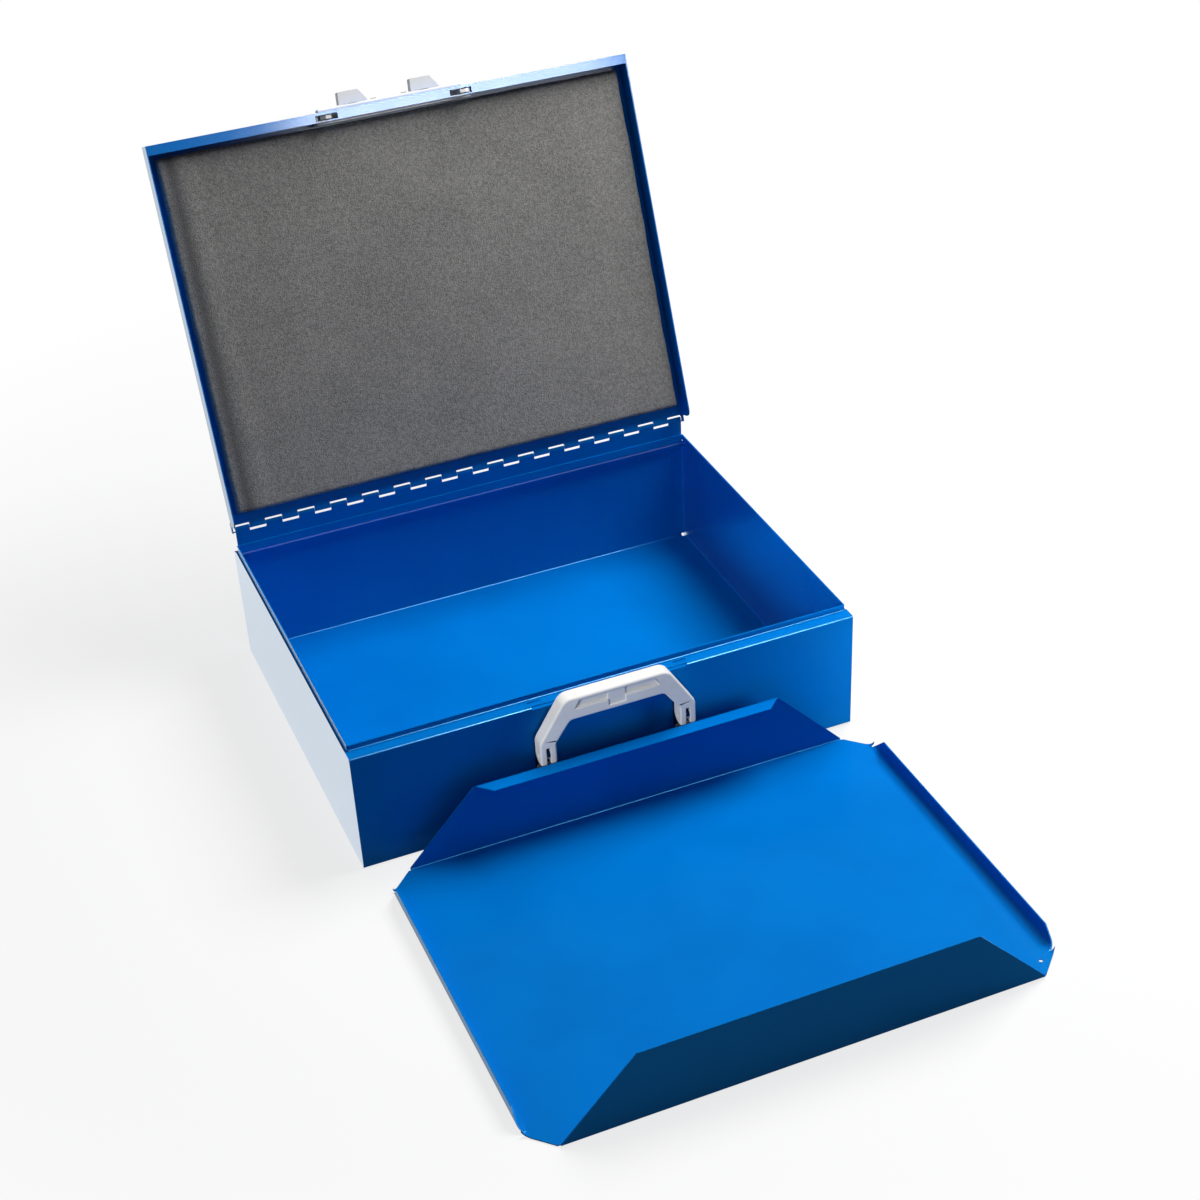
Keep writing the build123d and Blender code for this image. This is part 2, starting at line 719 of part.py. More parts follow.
# Insert tray: one bent sheet with two tapered flaps, two low side lips and cut corners
tray_half = tray_width / 2
tray_mid_y = -half_depth - tray_gap - tray_depth / 2
tray_half_depth = tray_depth / 2
fold_half = tray_half - tray_corner
side_reach = tray_half_depth - tray_corner
side_edge = tray_half - tray_side_bend - mid
lip_reach = side_reach + tray_half - side_edge
tray_frame = Plane((tray_shift, tray_mid_y, 0))
tray_side = Plane(tray_frame.origin, x_dir=(0, 1, 0), z_dir=(1, 0, 0))
tray_front = Plane(tray_frame.origin, x_dir=(1, 0, 0), z_dir=(0, -1, 0))
bend_outer = bend_radius + sheet
with BuildPart(tray_frame) as insert_tray:
    flap_points = [
        (tray_half_depth - tray_rear_lip, tray_flap - mid),
        (tray_half_depth - mid, tray_flap - mid),
        (tray_half_depth - mid, mid),
        (-tray_half_depth + mid, mid),
        (-tray_half_depth + mid, tray_flap),
    ]
    extrude(
        bent_profile(tray_side.offset(-fold_half), flap_points, bend_mid, sheet),
        amount=2 * fold_half,
    )
    for side in (-1, 1):
        taper_points = [
            (side * fold_half, bend_outer),
            (side * tray_flap_top_half, tray_flap),
            (side * tray_flap_top_half, tray_flap + 1),
            (side * (fold_half + 1), tray_flap + 1),
            (side * (fold_half + 1), bend_outer),
        ]
        extrude(
            outline(tray_front.offset(-tray_half_depth - 1), taper_points),
            amount=tray_depth + 2,
            mode=Mode.SUBTRACT,
        )
        lip_cut_points = [
            (side * tray_flap_top_half, tray_half_depth - mid),
            (side * (tray_flap_top_half - tray_rear_lip), tray_half_depth - tray_rear_lip - mid),
            (side * (fold_half + 1), tray_half_depth - tray_rear_lip - mid),
            (side * (fold_half + 1), tray_half_depth - mid),
        ]
        extrude(
            outline(tray_frame.offset(tray_flap - bend_outer), lip_cut_points),
            amount=2 * bend_outer,
            mode=Mode.SUBTRACT,
        )
        lip_points = [
            (side * fold_half, mid),
            (side * (tray_half - mid), mid),
            (side * (tray_half - mid), tray_side_lip),
        ]
        extrude(
            bent_profile(tray_front.offset(-lip_reach), lip_points, tray_side_bend, sheet),
            amount=2 * lip_reach,
        )
        for end in (-1, 1):
            # The corner cut runs on through the bend
            corner_points = [
                (side * side_edge, end * lip_reach),
                (side * (tray_half + 1), end * (side_reach - 1)),
                (side * (tray_half + 1), end * (lip_reach + 1)),
                (side * side_edge, end * (lip_reach + 1)),
            ]
            extrude(outline(tray_frame, corner_points), amount=tray_side_lip + 1, mode=Mode.SUBTRACT)
            end_points = [
                (end * side_reach, sheet),
                (end * (side_reach - tray_side_lip), tray_side_lip + sheet),
                (end * (side_reach + 1), tray_side_lip + sheet),
                (end * (side_reach + 1), sheet),
            ]
            start_x = min(side * (fold_half + 1), side * (tray_half + 1))
            extrude(
                outline(tray_side.offset(start_x), end_points),
                amount=tray_corner,
                mode=Mode.SUBTRACT,
            )
    # Floor with its cut corners
    end_edge = tray_half_depth - bend_outer
    floor_points = []
    for sx, sy in ((1, 1), (1, -1), (-1, -1), (-1, 1)):
        on_side = (sx * side_edge, sy * lip_reach)
        on_end = (sx * (fold_half + bend_outer), sy * end_edge)
        floor_points += [on_end, on_side] if sx * sy > 0 else [on_side, on_end]
    extrude(outline(tray_frame, floor_points), amount=sheet)
    # Draining hole by the front right corner
    hole_x = tray_half - tray_corner / 2 - tray_hole_inset
    hole_y = -tray_half_depth + tray_corner / 2 + tray_hole_inset
    with Locations((hole_x, hole_y, mid)):
        Cylinder(tray_hole_radius, 3 * sheet, mode=Mode.SUBTRACT)
insert_tray.part.label = "insert_tray"
export_step(insert_tray.part, "parts/insert_tray.step")
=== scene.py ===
import logging
import math
from dataclasses import dataclass, field, replace
from enum import Enum
from functools import cached_property

import bpy
import numpy as np
from mathutils import Matrix, Vector


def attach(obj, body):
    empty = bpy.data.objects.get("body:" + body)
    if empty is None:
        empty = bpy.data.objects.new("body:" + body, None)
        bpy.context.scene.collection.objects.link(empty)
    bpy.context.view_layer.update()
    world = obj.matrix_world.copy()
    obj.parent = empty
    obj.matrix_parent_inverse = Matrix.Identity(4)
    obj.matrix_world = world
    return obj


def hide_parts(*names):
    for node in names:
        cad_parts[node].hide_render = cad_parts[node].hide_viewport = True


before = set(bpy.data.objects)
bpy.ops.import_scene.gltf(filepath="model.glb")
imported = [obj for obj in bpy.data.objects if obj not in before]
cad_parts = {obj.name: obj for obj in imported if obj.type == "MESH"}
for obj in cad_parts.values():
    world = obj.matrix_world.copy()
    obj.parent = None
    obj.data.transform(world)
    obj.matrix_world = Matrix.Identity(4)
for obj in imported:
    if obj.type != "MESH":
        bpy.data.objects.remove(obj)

LOG = logging.getLogger("tool_case")
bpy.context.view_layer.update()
MM = 0.001
Colour = tuple[float, float, float]
Place = tuple[float, float, float]
Pair = tuple[float, float]


# Shader maths


class Value:
    """A number on a shader socket that takes part in Python expressions."""

    def __init__(self, graph: "Graph", socket: bpy.types.NodeSocket) -> None:
        """Wraps an output socket that carries a number."""
        self.graph = graph
        self.socket = socket

    def math(self, operation: str, *others: "Value | float", first: bool = True) -> "Value":
        """Adds one Math node.

        Args:
            operation: The Math node's operation.
            others: The other operands, numbers or wrapped sockets.
            first: Whether this value is the first operand.

        Returns:
            The node's result.
        """
        operands = [self, *others] if first else [*others, self]
        node = self.graph.node("Math", {"operation": operation}, dict(enumerate(operands)))
        return Value(self.graph, node.outputs[0])

    def __add__(self, other: "Value | float") -> "Value":
        """Sum."""
        return self.math("ADD", other)

    __radd__ = __add__

    def __mul__(self, other: "Value | float") -> "Value":
        """Product."""
        return self.math("MULTIPLY", other)

    __rmul__ = __mul__

    def __sub__(self, other: "Value | float") -> "Value":
        """Difference."""
        return self.math("SUBTRACT", other)

    def __rsub__(self, other: "Value | float") -> "Value":
        """Difference with this value taken away."""
        return self.math("SUBTRACT", other, first=False)

    def maximum(self, other: "Value | float") -> "Value":
        """The larger of two."""
        return self.math("MAXIMUM", other)

    def between(self, low: float, high: float) -> "Value":
        """A smooth step, 0 below low and 1 above high.

        Args:
            low: Where the step starts.
            high: Where the step ends.

        Returns:
            A value from 0 to 1.
        """
        ends = {"Value": self, "From Min": low, "From Max": high}
        node = self.graph.node("MapRange", {"interpolation_type": "SMOOTHSTEP"}, ends)
        return Value(self.graph, node.outputs[0])

    def about(self, middle: float, spread: float) -> "Value":
        """This noise, of 0 to 1, as a number that spreads about a middle."""
        return self * spread + (middle - spread / 2)


class Graph:
    """The node tree of a material or of the world."""

    def __init__(self, owner: bpy.types.Material | bpy.types.World) -> None:
        """Empties the tree of a new material or world.

        Args:
            owner: The material or world.
        """
        owner.use_nodes = True
        self.owner = owner
        self.tree = owner.node_tree
        self.tree.nodes.clear()

    def node(
        self, kind: str, settings: dict | None = None, inputs: dict | None = None
    ) -> bpy.types.Node:
        """Makes any node.

        Args:
            kind: The node's type without its ShaderNode prefix.
            settings: The node's own settings, set before its sockets.
            inputs: Numbers, colours, sockets or wrapped values by socket name or index.

        Returns:
            The new node.
        """
        node = self.tree.nodes.new("ShaderNode" + kind)
        for key, setting in (settings or {}).items():
            setattr(node, key, setting)
        for key, given in (inputs or {}).items():
            socket = node.inputs[key]
            source = given.socket if isinstance(given, Value) else given
            if isinstance(source, bpy.types.NodeSocket):
                self.tree.links.new(source, socket)
            elif socket.type == "RGBA":
                socket.default_value = (*source, 1.0)
            else:
                socket.default_value = source
        return node

    @cached_property
    def place(self) -> bpy.types.NodeSocket:
        """Object coordinates."""
        return self.node("TexCoord").outputs["Object"]

    def noise(self, scale: float, detail: float, stretch: Place | None = None) -> Value:
        """Noise on Object coordinates.

        Args:
            scale: Features per metre.
            detail: The noise's octaves.
            stretch: A factor on each axis, for a grain that runs one way.

        Returns:
            The noise, about 0.5 on average.
        """
        place = self.place
        if stretch:
            place = self.node("Mapping", {}, {"Vector": place, "Scale": stretch}).outputs[0]
        node = self.node("TexNoise", {}, {"Vector": place, "Scale": scale, "Detail": detail})
        return Value(self, node.outputs[0])

    def cells(self, scale: float) -> Value:
        """Distance to the nearest of scattered points, as a share of a cell of 1 / scale metres."""
        node = self.node("TexVoronoi", {}, {"Vector": self.place, "Scale": scale})
        return Value(self, node.outputs["Distance"])

    def facing(self) -> Value:
        """How far the surface turns away: 0 seen face on, 1 seen edge on."""
        return Value(self, self.node("LayerWeight", {}, {"Blend": 0.5}).outputs["Facing"])

    def shown(self) -> Value:
        """Tells what is seen or mirrored from what only lights.

        Returns:
            1 for rays from the camera, mirrored rays and rays through glass, and 0 for others.
        """
        path = self.node("LightPath")
        kinds = ("Camera", "Glossy", "Transmission")
        camera, mirrored, through = (Value(self, path.outputs[f"Is {kind} Ray"]) for kind in kinds)
        return camera.maximum(mirrored).maximum(through)

    def vector(self, operation: str, *operands: Place | bpy.types.NodeSocket) -> bpy.types.Node:
        """Adds one Vector Math node."""
        return self.node("VectorMath", {"operation": operation}, dict(enumerate(operands)))

    def blend(
        self,
        share: Value,
        first: Colour | bpy.types.NodeSocket,
        second: Colour | bpy.types.NodeSocket,
    ) -> bpy.types.NodeSocket:
        """Mixes two colours, 0 for the first and 1 for the second."""
        mix = self.node("Mix", {"data_type": "RGBA"}, {0: share, 6: first, 7: second})
        return mix.outputs[2]

    def bump(self, height: Value, distance: float, strength: float) -> bpy.types.NodeSocket:
        """Turns a height of 0 to 1 into a normal, with its full size in metres as the distance."""
        inputs = {"Height": height, "Distance": distance, "Strength": strength}
        return self.node("Bump", {}, inputs).outputs[0]

    def shader(self, kind: str, inputs: dict) -> bpy.types.NodeSocket:
        """Makes a shader from its type without the ShaderNode prefix."""
        return self.node(kind, {}, inputs).outputs[0]

    def layer(
        self, share: Value, first: bpy.types.NodeSocket, second: bpy.types.NodeSocket
    ) -> bpy.types.NodeSocket:
        """Mixes two shaders, 0 for the first and 1 for the second."""
        return self.shader("MixShader", {0: share, 1: first, 2: second})

    def output(self, surface: bpy.types.NodeSocket) -> bpy.types.Material | bpy.types.World:
        """Ends the tree.

        Args:
            surface: The shader of the surface or the world.

        Returns:
            The finished material or world.
        """
        kind = "OutputWorld" if isinstance(self.owner, bpy.types.World) else "OutputMaterial"
        self.node(kind, {}, {"Surface": surface})
        return self.owner


def darkened(colour: Colour, share: float) -> Colour:
    """A share of a colour's light."""
    return tuple(share * channel for channel in colour)


# The lid's frame


@dataclass(frozen=True)
class LidPlane:
    """The hinge axis, with Y towards the hinge along the lid's panel and Z out of it."""

    axis_y: float = 166.8 * MM
    axis_z: float = 132.0 * MM
    opening: float = 112.0

    @property
    def axis(self) -> Place:
        """A point on the hinge axis."""
        return (0.0, self.axis_y, self.axis_z)

    @property
    def outward(self) -> Place:
        """The direction out of the open panel: (0, sin t, cos t) at the opening t."""
        angle = math.radians(self.opening)
        return (0.0, math.sin(angle), math.cos(angle))

    def carry(self, points: np.ndarray) -> np.ndarray:
        """Carries points from the closed lid into the open one.

        y' = y cos t + z sin t and z' = z cos t - y sin t about the hinge axis.

        Args:
            points: Places in the lid's frame, in metres.

        Returns:
            Places in the case's frame.
        """
        _, s, c = self.outward
        x, y, z = points[..., 0], points[..., 1], points[..., 2]
        return np.stack([x, y * c + z * s + self.axis_y, z * c - y * s + self.axis_z], -1)


# Finishes


@dataclass(frozen=True)
class PowderCoat:
    """Semi-gloss powder coat on sheet steel, with a fine orange peel.

    Its gloss is weak and takes the paint's tint face on, and grows strong and pale at low angles.
    """

    name: str = "blue powder coat"
    colour: Colour = (0.0, 0.185, 0.620)
    shade: Colour = (0.0, 0.168, 0.575)
    roughness: float = 0.24
    sheen_start: float = 0.52
    sheen_full: float = 0.70
    gloss_least: float = 0.012
    gloss_most: float = 0.96
    gloss_facing: Colour = (0.2, 0.6, 1.0)
    gloss_edge: Colour = (0.74, 0.87, 1.0)
    matt_roughness: float = 0.6
    cloud_scale: float = 9.0
    cloud_ramp: Pair = (0.35, 0.65)
    peel_scale: float = 650.0
    peel_height: float = 0.03 * MM
    peel_strength: float = 0.25
    flow_scale: float = 45.0
    flow_spread: float = 0.06

    def material(self) -> bpy.types.Material:
        """Lays the gloss over a matt paint.

        The colour drifts in clouds, the peel is noise at 1.5 mm, and the gloss's roughness flows
        in patches of 22 mm.

        Returns:
            The material.
        """
        graph = Graph(bpy.data.materials.new(self.name))
        clouds = graph.noise(self.cloud_scale, detail=3.0).between(*self.cloud_ramp)
        peel = graph.noise(self.peel_scale, detail=1.0)
        normal = graph.bump(peel, self.peel_height, self.peel_strength)
        paint = graph.shader(
            "BsdfPrincipled",
            {
                "Base Color": graph.blend(clouds, self.colour, self.shade),
                "Roughness": self.matt_roughness,
                "Specular IOR Level": 0.0,
                "Normal": normal,
            },
        )
        edge_on = graph.facing().between(self.sheen_start, self.sheen_full)
        flow = graph.noise(self.flow_scale, detail=3.0)
        gloss = graph.shader(
            "BsdfPrincipled",
            {
                "Base Color": graph.blend(edge_on, self.gloss_facing, self.gloss_edge),
                "Metallic": 1.0,
                "Roughness": flow.about(self.roughness, self.flow_spread),
                "Normal": normal,
            },
        )
        return graph.output(graph.layer(self.gloss_share(graph, edge_on), paint, gloss))

    def gloss_share(self, graph: Graph, edge_on: Value) -> Value:
        """The gloss layer's share, from its least face on to its most at low angles."""
        return edge_on * (self.gloss_most - self.gloss_least) + self.gloss_least


@dataclass(frozen=True)
class LidPowderCoat(PowderCoat):
    """The lid's powder coat, its gloss lowered on the panel's inner face as painted shade for the
    gap under the front return.
    """

    name: str = "lid powder coat"
    roughness: float = 0.13
    sheen_start: float = 0.64
    sheen_full: float = 0.84
    gloss_least: float = 0.005
    gloss_most: float = 0.65
    gloss_facing: Colour = (0.84, 0.92, 0.96)
    gloss_edge: Colour = (0.62, 0.80, 0.98)
    plane: LidPlane = field(default_factory=LidPlane)
    # Painted shade: a thin layer at the panel's inner face loses most of its gloss.
    inner_face: float = 1.15 * MM
    reach: float = 0.35 * MM
    fade: float = 0.2 * MM
    gap_shade: float = 0.85

    def gloss_share(self, graph: Graph, edge_on: Value) -> Value:
        """Lowers the share at the depth of the panel's inner face, as painted shade for the gap
        there.

        The depth of a point p is (a - p) . n for the hinge axis a and the direction n out of the
        panel.

        Args:
            graph: The material's graph.
            edge_on: 0 face on and 1 at low angles.

        Returns:
            The gloss layer's share.
        """
        away = graph.vector("SUBTRACT", self.plane.axis, graph.place).outputs[0]
        along = graph.vector("DOT_PRODUCT", away, self.plane.outward)
        depth = Value(graph, along.outputs["Value"])
        low, high = self.inner_face - self.reach, self.inner_face + self.reach
        inner = depth.between(low - self.fade, low) * (1 - depth.between(high, high + self.fade))
        # Painted shade: less gloss where the gap under the front return lies in shadow.
        return super().gloss_share(graph, edge_on) * (1 - inner * self.gap_shade)


@dataclass(frozen=True)
class OpenCellFoam:
    """Dark grey open-cell foam: pores of about 1 mm and pale grains over a soft surface."""

    name: str = "grey foam"
    dark: Colour = (0.115, 0.112, 0.106)
    pale: Colour = (0.275, 0.268, 0.253)
    fleck: Colour = (0.46, 0.45, 0.43)
    # Painted shade: a darker strip of foam colour near the pad's left edge.
    painted_shade: Colour = (0.085, 0.083, 0.079)
    painted_shade_x: float = -202.0 * MM
    painted_shade_half: float = 9.0 * MM
    painted_shade_share: float = 0.75
    fine_scale: float = 720.0
    coarse_scale: float = 300.0
    coarse_share: float = 0.4
    grain_ramp: Pair = (0.32, 0.68)
    pore_scale: float = 700.0
    pore_ramp: Pair = (0.15, 0.6)
    pore_share: float = 0.25
    cloud_scale: float = 14.0
    cloud_ramp: Pair = (0.3, 0.7)
    cloud_spread: float = 0.12
    fleck_scale: float = 1150.0
    fleck_ramp: Pair = (0.63, 0.75)
    fleck_share: float = 0.55
    relief: float = 0.6 * MM
    relief_strength: float = 0.5

    def material(self) -> bpy.types.Material:
        """Mixes grain, pores, clouds and flecks into one tone.

        The grain is noise at 1.4 and 3.3 mm, the pores are cells at 1.4 mm and the flecks are
        noise at 0.9 mm. A strip near the pad's left edge is darker, as painted shade. Its share is
        the product of a step up and a step down along X.

        Returns:
            The material.
        """
        graph = Graph(bpy.data.materials.new(self.name))
        fine = graph.noise(self.fine_scale, detail=3.0) * (1 - self.coarse_share)
        grain = fine + graph.noise(self.coarse_scale, detail=2.0) * self.coarse_share
        pores = graph.cells(self.pore_scale).between(*self.pore_ramp)
        clouds = graph.noise(self.cloud_scale, detail=2.0).between(*self.cloud_ramp)
        grains = grain.between(*self.grain_ramp) * (1 - self.pore_share) + pores * self.pore_share
        tone = (grains + clouds.about(0.0, self.cloud_spread)).maximum(0.0)
        flecks = graph.noise(self.fleck_scale, detail=1.0).between(*self.fleck_ramp)
        foam = graph.blend(tone, self.dark, self.pale)
        foam = graph.blend(flecks * self.fleck_share, foam, self.fleck)
        x = Value(graph, graph.node("SeparateXYZ", {}, {0: graph.place}).outputs["X"])
        # Painted shade: the darker strip's share rises and falls along X.
        rise = x.between(self.painted_shade_x - self.painted_shade_half, self.painted_shade_x)
        fall = 1 - x.between(self.painted_shade_x, self.painted_shade_x + self.painted_shade_half)
        height = grain * 0.5 + pores * 0.5
        surface = {
            "Base Color": graph.blend(rise * fall * self.painted_shade_share, foam, self.painted_shade),
            "Roughness": 0.95,
            "Specular IOR Level": 0.1,
            "Sheen Weight": 0.15,
            "Sheen Roughness": 0.6,
            "Normal": graph.bump(height, self.relief, self.relief_strength),
        }
        return graph.output(graph.shader("BsdfPrincipled", surface))


@dataclass(frozen=True)
class MouldedPlastic:
    """Light grey moulded plastic with a spark-eroded grain."""

    name: str = "light grey plastic"
    colour: Colour = (0.68, 0.68, 0.67)
    darker_share: float = 0.95
    roughness: float = 0.42
    roughness_spread: float = 0.16
    grain_scale: float = 1800.0
    grain_height: float = 0.08 * MM
    grain_strength: float = 0.5
    flow_scale: float = 30.0
    flow_stretch: Place = (1.0, 1.0, 2.5)
    flow_ramp: Pair = (0.3, 0.7)

    def material(self) -> bpy.types.Material:
        """The grain is fine noise, and the tone drifts slightly with the flow of the plastic.

        Returns:
            The material.
        """
        graph = Graph(bpy.data.materials.new(self.name))
        grain = graph.noise(self.grain_scale, detail=2.0)
        flow = graph.noise(self.flow_scale, 2.0, self.flow_stretch).between(*self.flow_ramp)
        darker = darkened(self.colour, self.darker_share)
        surface = {
            "Base Color": graph.blend(flow, self.colour, darker),
            "Roughness": grain.about(self.roughness, self.roughness_spread),
            "Specular IOR Level": 0.45,
            "Normal": graph.bump(grain, self.grain_height, self.grain_strength),
        }
        return graph.output(graph.shader("BsdfPrincipled", surface))


class Grain(Enum):
    """The direction in which metal was drawn or brushed."""

    ALONG_X = (0.03, 1.0, 1.0)
    EVEN = (1.0, 1.0, 1.0)


@dataclass(frozen=True)
class BareSteel:
    """Bare steel with drawing lines or an even grain, zinc-bright unless its colour is darker."""

    name: str = "drawn steel"
    colour: Colour = (0.56, 0.57, 0.58)
    grain: Grain = Grain.ALONG_X
    darker_share: float = 0.8
    roughness: float = 0.32
    roughness_spread: float = 0.2
    line_scale: float = 1200.0
    line_ramp: Pair = (0.3, 0.7)
    line_height: float = 0.03 * MM
    line_strength: float = 0.4

    def material(self) -> bpy.types.Material:
        """The lines are noise stretched along the grain.

        Returns:
            The material.
        """
        graph = Graph(bpy.data.materials.new(self.name))
        lines = graph.noise(self.line_scale, 3.0, self.grain.value)
        darker = darkened(self.colour, self.darker_share)
        surface = {
            "Base Color": graph.blend(lines.between(*self.line_ramp), self.colour, darker),
            "Metallic": 1.0,
            "Roughness": lines.about(self.roughness, self.roughness_spread),
            "Normal": graph.bump(lines, self.line_height, self.line_strength),
        }
        return graph.output(graph.shader("BsdfPrincipled", surface))


@dataclass(frozen=True)
class StudioPaper:
    """White ground that shows as white and keeps the shadow of what stands on it."""

    name: str = "white ground"
    white: Colour = (1.0, 1.0, 1.0)
    lit: Colour = (0.92, 0.92, 0.93)
    bounce: Colour = (0.25, 0.25, 0.25)
    shadow_share: float = 0.22
    shadow_from: float = 0.45
    shadow_to: float = 1.0

    def material(self) -> bpy.types.Material:
        """Where the ground is seen or mirrored it is part lit paper, part plain white.

        The lit share falls off with the distance from the middle, because only the shadow needs
        it. All other rays meet grey paper.

        Returns:
            The material.
        """
        graph = Graph(bpy.data.materials.new(self.name))
        away = Value(graph, graph.vector("LENGTH", graph.place).outputs["Value"])
        share = (1 - away.between(self.shadow_from, self.shadow_to)) * self.shadow_share
        white = graph.shader("Emission", {"Color": self.white, "Strength": 1.0})
        lit = graph.shader("BsdfDiffuse", {"Color": self.lit})
        grey = graph.shader("BsdfDiffuse", {"Color": self.bounce})
        return graph.output(graph.layer(graph.shown(), grey, graph.layer(share, white, lit)))


# Surfaces


def grid_faces(rows: int, columns: int, closed: bool = False) -> np.ndarray:
    """Quads of a grid of points that is stored row by row.

    Args:
        rows: Points along the first parameter.
        columns: Points along the second parameter.
        closed: Whether the second parameter comes round to its start.

    Returns:
        Indices of the quads, four to a row of the array.
    """
    spans = columns if closed else columns - 1
    i, j = np.meshgrid(np.arange(rows - 1), np.arange(spans), indexing="ij")
    here, there = i * columns, (i + 1) * columns
    after = (j + 1) % columns
    return np.stack([here + j, there + j, there + after, here + after], -1).reshape(-1, 4)


def make_piece(
    name: str, points: np.ndarray, faces: list[list[int]], material: bpy.types.Material
) -> bpy.types.Object:
    """Puts points and faces into a new object at the origin.

    Args:
        name: The piece's name.
        points: Places in metres, three to a row.
        faces: Lists of point indices, outward by the right-hand rule.
        material: The piece's material.

    Returns:
        The linked object.
    """
    mesh = bpy.data.meshes.new(name)
    mesh.from_pydata(points.tolist(), [], faces)
    mesh.validate()
    mesh.materials.append(material)
    mesh.polygons.foreach_set("use_smooth", np.ones(len(mesh.polygons), bool))
    piece = bpy.data.objects.new(name, mesh)
    bpy.context.scene.collection.objects.link(piece)
    LOG.info("%s: %d points, %d faces", name, len(points), len(faces))
    return piece


def turned_solids(
    centres: np.ndarray, axes: np.ndarray, profile: np.ndarray, around: int
) -> tuple[np.ndarray, list[list[int]]]:
    """Copies of one solid of revolution.

    A point lies at its centre plus radius times (cos a, sin a) across the axis plus height along
    it.

    Args:
        centres: One centre to a row.
        axes: Three unit rows: two across the axis and the axis itself.
        profile: Radius and height to a row, from the lower pole to the upper one.
        around: Points round the axis.

    Returns:
        Points and faces of all copies.
    """
    angle = np.linspace(0, 2 * np.pi, around, endpoint=False)
    ring = np.cos(angle)[:, None] * axes[0] + np.sin(angle)[:, None] * axes[1]
    radius, height = profile[1:-1, 0], profile[1:-1, 1]
    wall = radius[:, None, None] * ring + height[:, None, None] * axes[2]
    poles = profile[[0, -1], 1][:, None] * axes[2]
    one = np.concatenate([wall.reshape(-1, 3), poles])
    low_pole, high_pole = len(one) - 2, len(one) - 1
    j = np.arange(around)
    after = (j + 1) % around
    top = (len(radius) - 1) * around
    quads = grid_faces(len(radius), around, closed=True)[:, ::-1]
    low = np.stack([np.full(around, low_pole), after, j], -1)
    high = np.stack([np.full(around, high_pole), top + j, top + after], -1)
    faces = []
    for k in range(len(centres)):
        for part in (quads, low, high):
            faces += (part + k * len(one)).tolist()
    return (centres[:, None, :] + one).reshape(-1, 3), faces


@dataclass(frozen=True)
class Wave:
    """A sine along one direction, with its height and its length to a radian in metres."""

    height: float
    length: float
    phase: float = 0.0

    def at(self, places: np.ndarray) -> np.ndarray:
        """Height times sin(place / length + phase)."""
        return self.height * np.sin(places / self.length + self.phase)


@dataclass(frozen=True)
class EdgeRounding:
    """Live modifiers that round a solid's sharp edges."""

    width: float
    steps: int = 2
    weld_distance: float = 0.002 * MM
    sharp_angle: float = 35.0
    face_weight: int = 80

    def add(self, node: bpy.types.Object) -> None:
        """Welds the node's loose triangles, bevels its sharp edges and evens its normals.

        Args:
            node: A CAD node.
        """
        weld = node.modifiers.new("weld", "WELD")
        weld.merge_threshold = self.weld_distance
        bevel = node.modifiers.new("bevel", "BEVEL")
        bevel.width = self.width
        bevel.segments = self.steps
        bevel.limit_method = "ANGLE"
        bevel.angle_limit = math.radians(self.sharp_angle)
        bevel.use_clamp_overlap = True
        bevel.miter_outer = "MITER_ARC"
        shading = node.modifiers.new("shading", "WEIGHTED_NORMAL")
        shading.keep_sharp = False
        shading.weight = self.face_weight


def dress(names: list[str], material: bpy.types.Material, rounding: float = 0.0) -> None:
    """Gives CAD nodes their material and rounded edges.

    Args:
        names: The nodes' names.
        material: Their material.
        rounding: The width of their rounded edges in metres, or 0 for none.
    """
    for name in names:
        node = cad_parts[name]
        node.data.materials.clear()
        node.data.materials.append(material)
        if rounding:
            EdgeRounding(rounding).add(node)
        LOG.info("%s: %s", name, material.name)


# Sub-assemblies


@dataclass
class CaseBody:
    """Case shell, side panels and the brackets' rivets."""

    finish: PowderCoat = field(default_factory=PowderCoat)
    # Dark steel, partly painted shade, so that the rivet heads sit dark beside the handle's legs.
    steel: BareSteel = field(
        default_factory=lambda: BareSteel(
            "rivets darkened into shade", (0.22, 0.22, 0.23), Grain.EVEN, roughness=0.5
        )
    )
    edge: float = 0.25 * MM
    bracket_x: float = 61.3 * MM
    rivet_spacing: float = 8.0 * MM
    rivet_z: float = 52.0 * MM
    plate_face_y: float = -172.0 * MM
    rivet_radius: float = 2.6 * MM
    rivet_height: float = 1.3 * MM
    dome_steps: int = 7
    rivet_sides: int = 24

    def build(self) -> None:
        """Dresses the sheet parts and sets domed rivet heads on the bracket plates."""
        paint = self.finish.material()
        dress(["case_shell", "side_panel_left", "side_panel_right"], paint, self.edge)
        points, faces = self.rivet_heads()
        heads = make_piece("bracket_rivet_heads", points, faces, self.steel.material())
        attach(heads, "case")

    def rivet_heads(self) -> tuple[np.ndarray, list[list[int]]]:
        """Two domed heads on each bracket plate.

        A head's profile is a quarter ellipse: radius r cos a and height h sin a, for a from 0 to a
        right angle, on a flat underside.

        Returns:
            Points and faces of the four heads.
        """
        a = np.linspace(0, np.pi / 2, self.dome_steps)
        dome = np.stack([self.rivet_radius * np.cos(a), self.rivet_height * np.sin(a)], -1)
        profile = np.concatenate([[[0.0, 0.0]], dome])
        sides = np.repeat([-self.bracket_x, self.bracket_x], 2)
        x = sides + np.tile([-0.5, 0.5], 2) * self.rivet_spacing
        y, z = np.full_like(x, self.plate_face_y), np.full_like(x, self.rivet_z)
        across, up, forwards = (1.0, 0.0, 0.0), (0.0, 0.0, 1.0), (0.0, -1.0, 0.0)
        axes = np.array([across, up, forwards])
        return turned_solids(np.stack([x, y, z], -1), axes, profile, self.rivet_sides)


@dataclass
class PianoHinge:
    """Two rolled leaves on one pin."""

    finish: PowderCoat = field(default_factory=lambda: PowderCoat("hinge powder coat"))
    steel: BareSteel = field(default_factory=BareSteel)
    edge: float = 0.12 * MM

    def build(self) -> None:
        """Dresses the leaves and the pin."""
        dress(["body_hinge_leaf", "lid_hinge_leaf"], self.finish.material(), self.edge)
        dress(["hinge_pin"], self.steel.material())


